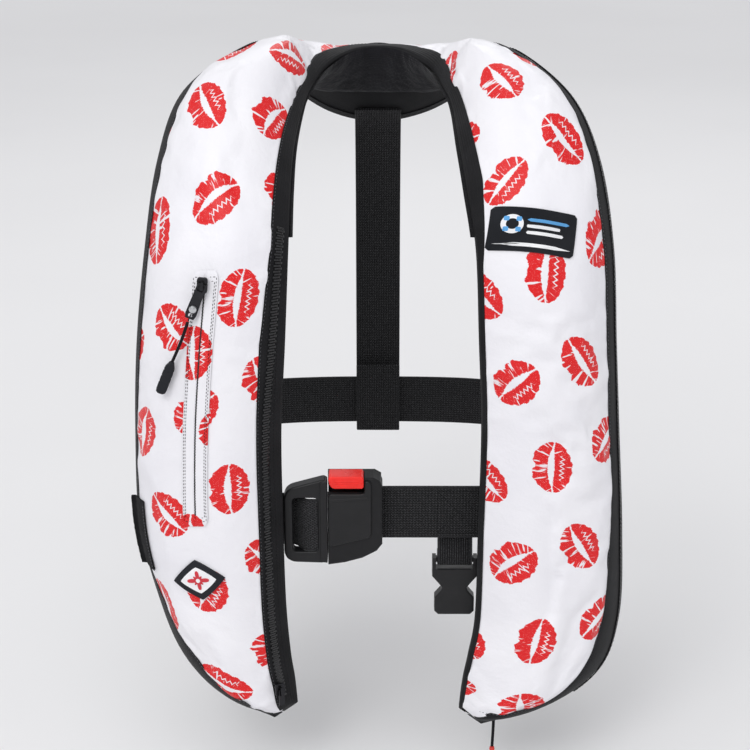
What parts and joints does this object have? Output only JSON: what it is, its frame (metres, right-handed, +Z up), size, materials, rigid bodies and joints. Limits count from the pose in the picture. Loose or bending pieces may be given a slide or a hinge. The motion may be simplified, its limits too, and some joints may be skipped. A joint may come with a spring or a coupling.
{
  "type": "inflatable life jacket",
  "caption": "Horseshoe inflatable life jacket with a red lip print on white cover cloth, black edge zips and bindings, zipped pocket, webbing waist belt and a push-button buckle",
  "frame": {"origin": "middle of the nape, on the inner edge of the collar, where the jacket rests on the neck", "axes": "+X towards the wearer's left lobe, -Y to the front, +Z up along the body, with the lobes hanging down to -Z"},
  "size_m": [0.3946, 0.3087, 0.5588],
  "materials": {
    "printed_cover": "satin",
    "inner_cloth": "matte",
    "binding": "matte",
    "zip_teeth": "satin",
    "bladder_film": "satin",
    "neck_pad": "matte",
    "webbing": "matte",
    "buckle_plastic": "satin",
    "button_plastic": "gloss",
    "spring_steel": "satin",
    "slider_metal": "polished",
    "pull_rubber": "matte",
    "cord": "matte",
    "grip": "matte",
    "badge_rubber": "satin",
    "label_cloth": "satin",
    "hook_tape": "matte",
    "inflator_plastic": "satin",
    "sensor_plastic": "satin",
    "cylinder_steel": "satin",
    "gasket_rubber": "matte",
    "oral_tube_rubber": "matte",
    "oral_cap_plastic": "satin",
    "whistle_plastic": "gloss",
    "lanyard_plastic": "satin"
  },
  "bodies": {
    "jacket": {"outer_cover_right": "printed_cover", "outer_cover_left": "printed_cover", "inner_cover_right": "inner_cloth", "inner_cover_left": "inner_cloth", "inner_zip_tape_right": "binding", "outer_binding_right": "binding", "inner_binding_left": "binding", "outer_zip_tape_left": "binding", "zip_chain_right": "zip_teeth", "zip_chain_left": "zip_teeth", "bladder": "bladder_film", "neck_lining": "neck_pad", "back_strap": "webbing", "hanging_loop": "webbing", "waist_belt": "webbing", "belt_left": "webbing", "belt_right": "webbing", "belt_loop_right": "webbing", "belt_loop_left": "webbing", "buckle_tongue": "buckle_plastic", "tongue_blade": "buckle_plastic", "tongue_webbing": "webbing", "pocket_panel": "printed_cover", "pocket_zip_chain": "zip_teeth", "badge": "badge_rubber", "label": "label_cloth", "edge_tab": "hook_tape", "inflator_body": "inflator_plastic", "lever_pin": "spring_steel", "sensor_cap": "sensor_plastic", "manifold_valve": "inflator_plastic", "cylinder_gasket": "gasket_rubber", "oral_tube": "oral_tube_rubber", "whistle": "whistle_plastic"},
    "buckle_half": {"buckle_housing": "buckle_plastic", "buckle_back_plate": "buckle_plastic", "button_spring": "spring_steel", "buckle_belt": "webbing", "crotch_strap": "webbing"},
    "release_button_body": {"release_button": "button_plastic", "latch_plate": "spring_steel"},
    "crotch_buckle": {"crotch_strap_loop": "webbing", "crotch_buckle_socket": "buckle_plastic"},
    "pocket_slider_body": {"pocket_slider": "slider_metal"},
    "pull_tab": {"pocket_pull_tab": "pull_rubber", "pull_rivet": "slider_metal", "pull_ring": "slider_metal"},
    "pull_grip_body": {"pull_cord": "cord", "pull_grip": "grip"},
    "zip_slider_body": {"zip_slider": "slider_metal"},
    "zip_pull": {"zip_pull_tab": "pull_rubber"},
    "inflator_lever_body": {"inflator_lever": "inflator_plastic"},
    "piercing_pin_body": {"piercing_pin": "spring_steel"},
    "lanyard": {"lanyard_cord": "cord", "lanyard_bead": "lanyard_plastic"},
    "gas_cylinder": {"co2_cylinder": "cylinder_steel"},
    "oral_cap_body": {"oral_cap": "oral_cap_plastic"},
    "oral_valve_body": {"oral_valve": "gasket_rubber"}
  },
  "joints": [
    {"name": "buckle_release", "type": "slide", "parent": "jacket", "child": "buckle_half", "axis": [1, 0, 0], "range_m": [0, 0.028]},
    {"name": "button_press", "type": "slide", "parent": "buckle_half", "child": "release_button_body", "axis": [0, 0, -1], "range_m": [0, 0.004], "stiffness_N_per_m": 800, "deforming": ["button_spring"]},
    {"name": "crotch_buckle_swing", "type": "hinge", "parent": "buckle_half", "child": "crotch_buckle", "pos_m": [0.0615, -0.155, -0.3585], "axis": [1, 0, 0], "range_deg": [-28, 45]},
    {"name": "pocket_zip", "type": "slide", "parent": "jacket", "child": "pocket_slider_body", "axis": [-0.0739, -0.0604, -0.9954], "range_m": [0, 0.178]},
    {"name": "pull_tab_lift", "type": "hinge", "parent": "pocket_slider_body", "child": "pull_tab", "pos_m": [-0.12976, -0.18987, -0.13551], "axis": [-0.9256, 0.0208, 0.3779], "range_deg": [0, 100]},
    {"name": "pull_grip_lift", "type": "hinge", "parent": "pull_tab", "child": "pull_grip_body", "pos_m": [-0.13963, -0.18862, -0.15975], "axis": [-0.9256, 0.0208, 0.3779], "range_deg": [0, 60]},
    {"name": "closing_zip", "type": "slide", "parent": "jacket", "child": "zip_slider_body", "axis": [-0.0393, 0.0044, 0.9992], "range_m": [0, 0.215]},
    {"name": "zip_tab_lift", "type": "hinge", "parent": "zip_slider_body", "child": "zip_pull", "pos_m": [-0.07754, -0.19294, -0.47449], "axis": [-0.8769, -0.4795, -0.0324], "range_deg": [0, 100]},
    {"name": "inflator_lever_turn", "type": "hinge", "parent": "jacket", "child": "inflator_lever_body", "pos_m": [0.111, -0.1787, -0.4715], "axis": [0, -1, 0], "range_deg": [0, 60]},
    {"name": "piercing_pin_drive", "type": "slide", "parent": "jacket", "child": "piercing_pin_body", "axis": [0, 0, 1], "range_m": [0, 0.0043]},
    {"name": "lanyard_pull", "type": "slide", "parent": "jacket", "child": "lanyard", "axis": [0, 0, -1], "range_m": [0, 0.016]},
    {"name": "cylinder_screw", "type": "hinge", "parent": "jacket", "child": "gas_cylinder", "pos_m": [0.116, -0.1787, -0.379], "axis": [0, 0, 1], "continuous": true},
    {"name": "oral_cap_pull", "type": "slide", "parent": "jacket", "child": "oral_cap_body", "axis": [0, 0, 1], "range_m": [0, 0.014]},
    {"name": "oral_valve_press", "type": "slide", "parent": "jacket", "child": "oral_valve_body", "axis": [0, 0, -1], "range_m": [0, 0.002], "stiffness_N_per_m": 300}
  ],
  "couplings": [
    {"joint": "inflator_lever_turn", "follows": "lanyard_pull", "rad_per_m": 62.5},
    {"joint": "piercing_pin_drive", "follows": "lanyard_pull", "ratio": 0.25}
  ]
}
